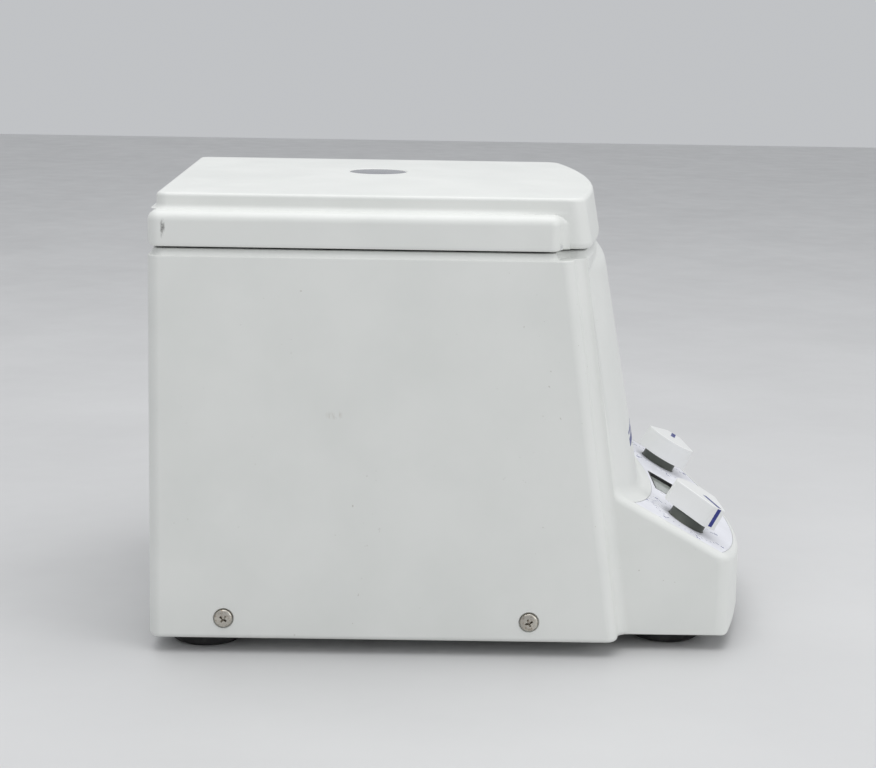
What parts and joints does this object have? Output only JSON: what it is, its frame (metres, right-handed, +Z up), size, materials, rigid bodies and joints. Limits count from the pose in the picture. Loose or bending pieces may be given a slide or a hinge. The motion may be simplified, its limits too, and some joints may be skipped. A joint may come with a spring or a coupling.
{
  "type": "microcentrifuge",
  "caption": "Benchtop microcentrifuge with a hinged lid and round viewing window, sloped console with turning knobs, display and keys, fixed-angle tube rotor, motor and rear mains inlet.",
  "frame": {"origin": "centre of the footprint on the plane of the rubber feet's undersides", "axes": "+Z up, +Y towards the rear (longest), X across the width with -X on the user's left; X = 0 is near enough the plane of symmetry"},
  "size_m": [0.2132, 0.3, 0.2275],
  "materials": {
    "casing_plastic": "fine satin moulding, off-white",
    "knob_plastic": "satin moulding, white",
    "liner_plastic": "satin moulding, light grey",
    "coated_steel": "smooth powder coat, light grey",
    "dark_rubber": "matt moulded rubber",
    "steel": "bright turned or stamped steel",
    "stainless": "spun stainless sheet",
    "rotor_aluminium": "turned and anodised",
    "clear_window": "smoked clear window",
    "black_plastic": "satin moulding, black",
    "membrane": "printed film, pale lavender",
    "key_plastic": "satin keys, grey-blue",
    "collar_plastic": "satin moulding, grey-green",
    "blue_ink": "plain dark blue ink",
    "board_laminate": "green solder mask",
    "dark_iron": "lacquered iron",
    "copper_tape": "amber winding tape",
    "label_foil": "blank silver foil"
  },
  "bodies": {
    "body": {"housing": "casing_plastic", "base_tray": "coated_steel", "rubber_feet": "dark_rubber", "foot_screws": "steel", "side_screws": "steel", "rear_panel": "coated_steel", "rating_plate": "label_foil", "rotor_chamber": "stainless", "chamber_seal": "dark_rubber", "hinge_brackets": "steel", "hinge_pins": "steel", "latch_frame": "coated_steel", "latch_solenoid": "dark_iron", "motor_can": "dark_iron", "motor_end_cap": "dark_iron", "motor_bearings": "steel", "motor_plate": "coated_steel", "vibration_mounts": "dark_rubber", "shaft_boot": "dark_rubber", "panel_membrane": "membrane", "display_bezel": "black_plastic", "display_lens": "clear_window", "display_module": "black_plastic", "control_board": "board_laminate", "board_posts": "liner_plastic", "key_switches": "black_plastic", "knob_collars": "collar_plastic", "potentiometers": "steel", "power_board": "board_laminate", "transformer_core": "dark_iron", "transformer_winding": "copper_tape", "mains_inlet": "black_plastic", "inlet_pins": "steel", "switch_bezel": "black_plastic", "front_mark": "blue_ink"},
    "lid": {"lid_shell": "casing_plastic", "lid_liner": "liner_plastic", "liner_screws": "steel", "window_lens": "clear_window", "hinge_leaves": "steel", "lid_striker": "steel"},
    "spindle": {"rotor": "rotor_aluminium", "rotor_nut": "steel", "motor_shaft": "steel", "motor_armature": "dark_iron"},
    "bolt": {"latch_bolt": "steel"},
    "left_knob": {"knob_left": "knob_plastic", "pointer_left": "blue_ink", "pot_shaft_left": "steel"},
    "right_knob": {"knob_right": "knob_plastic", "pointer_right": "blue_ink", "pot_shaft_right": "steel"},
    "short_spin_key": {"key_short_spin": "key_plastic"},
    "start_stop_key": {"key_start_stop": "key_plastic"},
    "lid_open_key": {"key_lid_open": "key_plastic"},
    "drawer": {"fuse_drawer": "black_plastic"},
    "rocker": {"power_rocker": "black_plastic"}
  },
  "joints": [
    {"name": "lid_hinge", "type": "hinge", "parent": "body", "child": "lid", "pos_m": [0, 0.145, 0.205], "axis": [-1, 0, 0], "range_deg": [0, 75]},
    {"name": "rotor_spin", "type": "hinge", "parent": "body", "child": "spindle", "pos_m": [0, 0.043, 0.1], "axis": [0, 0, 1], "continuous": true},
    {"name": "latch_bolt_slide", "type": "slide", "parent": "body", "child": "bolt", "axis": [1, 0, 0], "range_m": [0, 0.012]},
    {"name": "knob_left_turn", "type": "hinge", "parent": "body", "child": "left_knob", "pos_m": [-0.062, -0.11642, 0.05775], "axis": [0, -0.4924, 0.8704], "range_deg": [-270, 30]},
    {"name": "knob_right_turn", "type": "hinge", "parent": "body", "child": "right_knob", "pos_m": [0.062, -0.11642, 0.05775], "axis": [0, -0.4924, 0.8704], "range_deg": [-48, 252]},
    {"name": "key_short_spin_press", "type": "slide", "parent": "body", "child": "short_spin_key", "axis": [0, 0.4924, -0.8704], "range_m": [0, 0.0006], "stiffness_N_per_m": 400},
    {"name": "key_start_stop_press", "type": "slide", "parent": "body", "child": "start_stop_key", "axis": [0, 0.4924, -0.8704], "range_m": [0, 0.0006], "stiffness_N_per_m": 400},
    {"name": "key_lid_open_press", "type": "slide", "parent": "body", "child": "lid_open_key", "axis": [0, 0.4924, -0.8704], "range_m": [0, 0.0006], "stiffness_N_per_m": 400},
    {"name": "fuse_drawer_slide", "type": "slide", "parent": "body", "child": "drawer", "axis": [0, 1, 0], "range_m": [0, 0.016]},
    {"name": "power_rocker_tip", "type": "hinge", "parent": "body", "child": "rocker", "pos_m": [-0.058, 0.145, 0.082], "axis": [0, 0, 1], "range_deg": [-16, 0]}
  ]
}
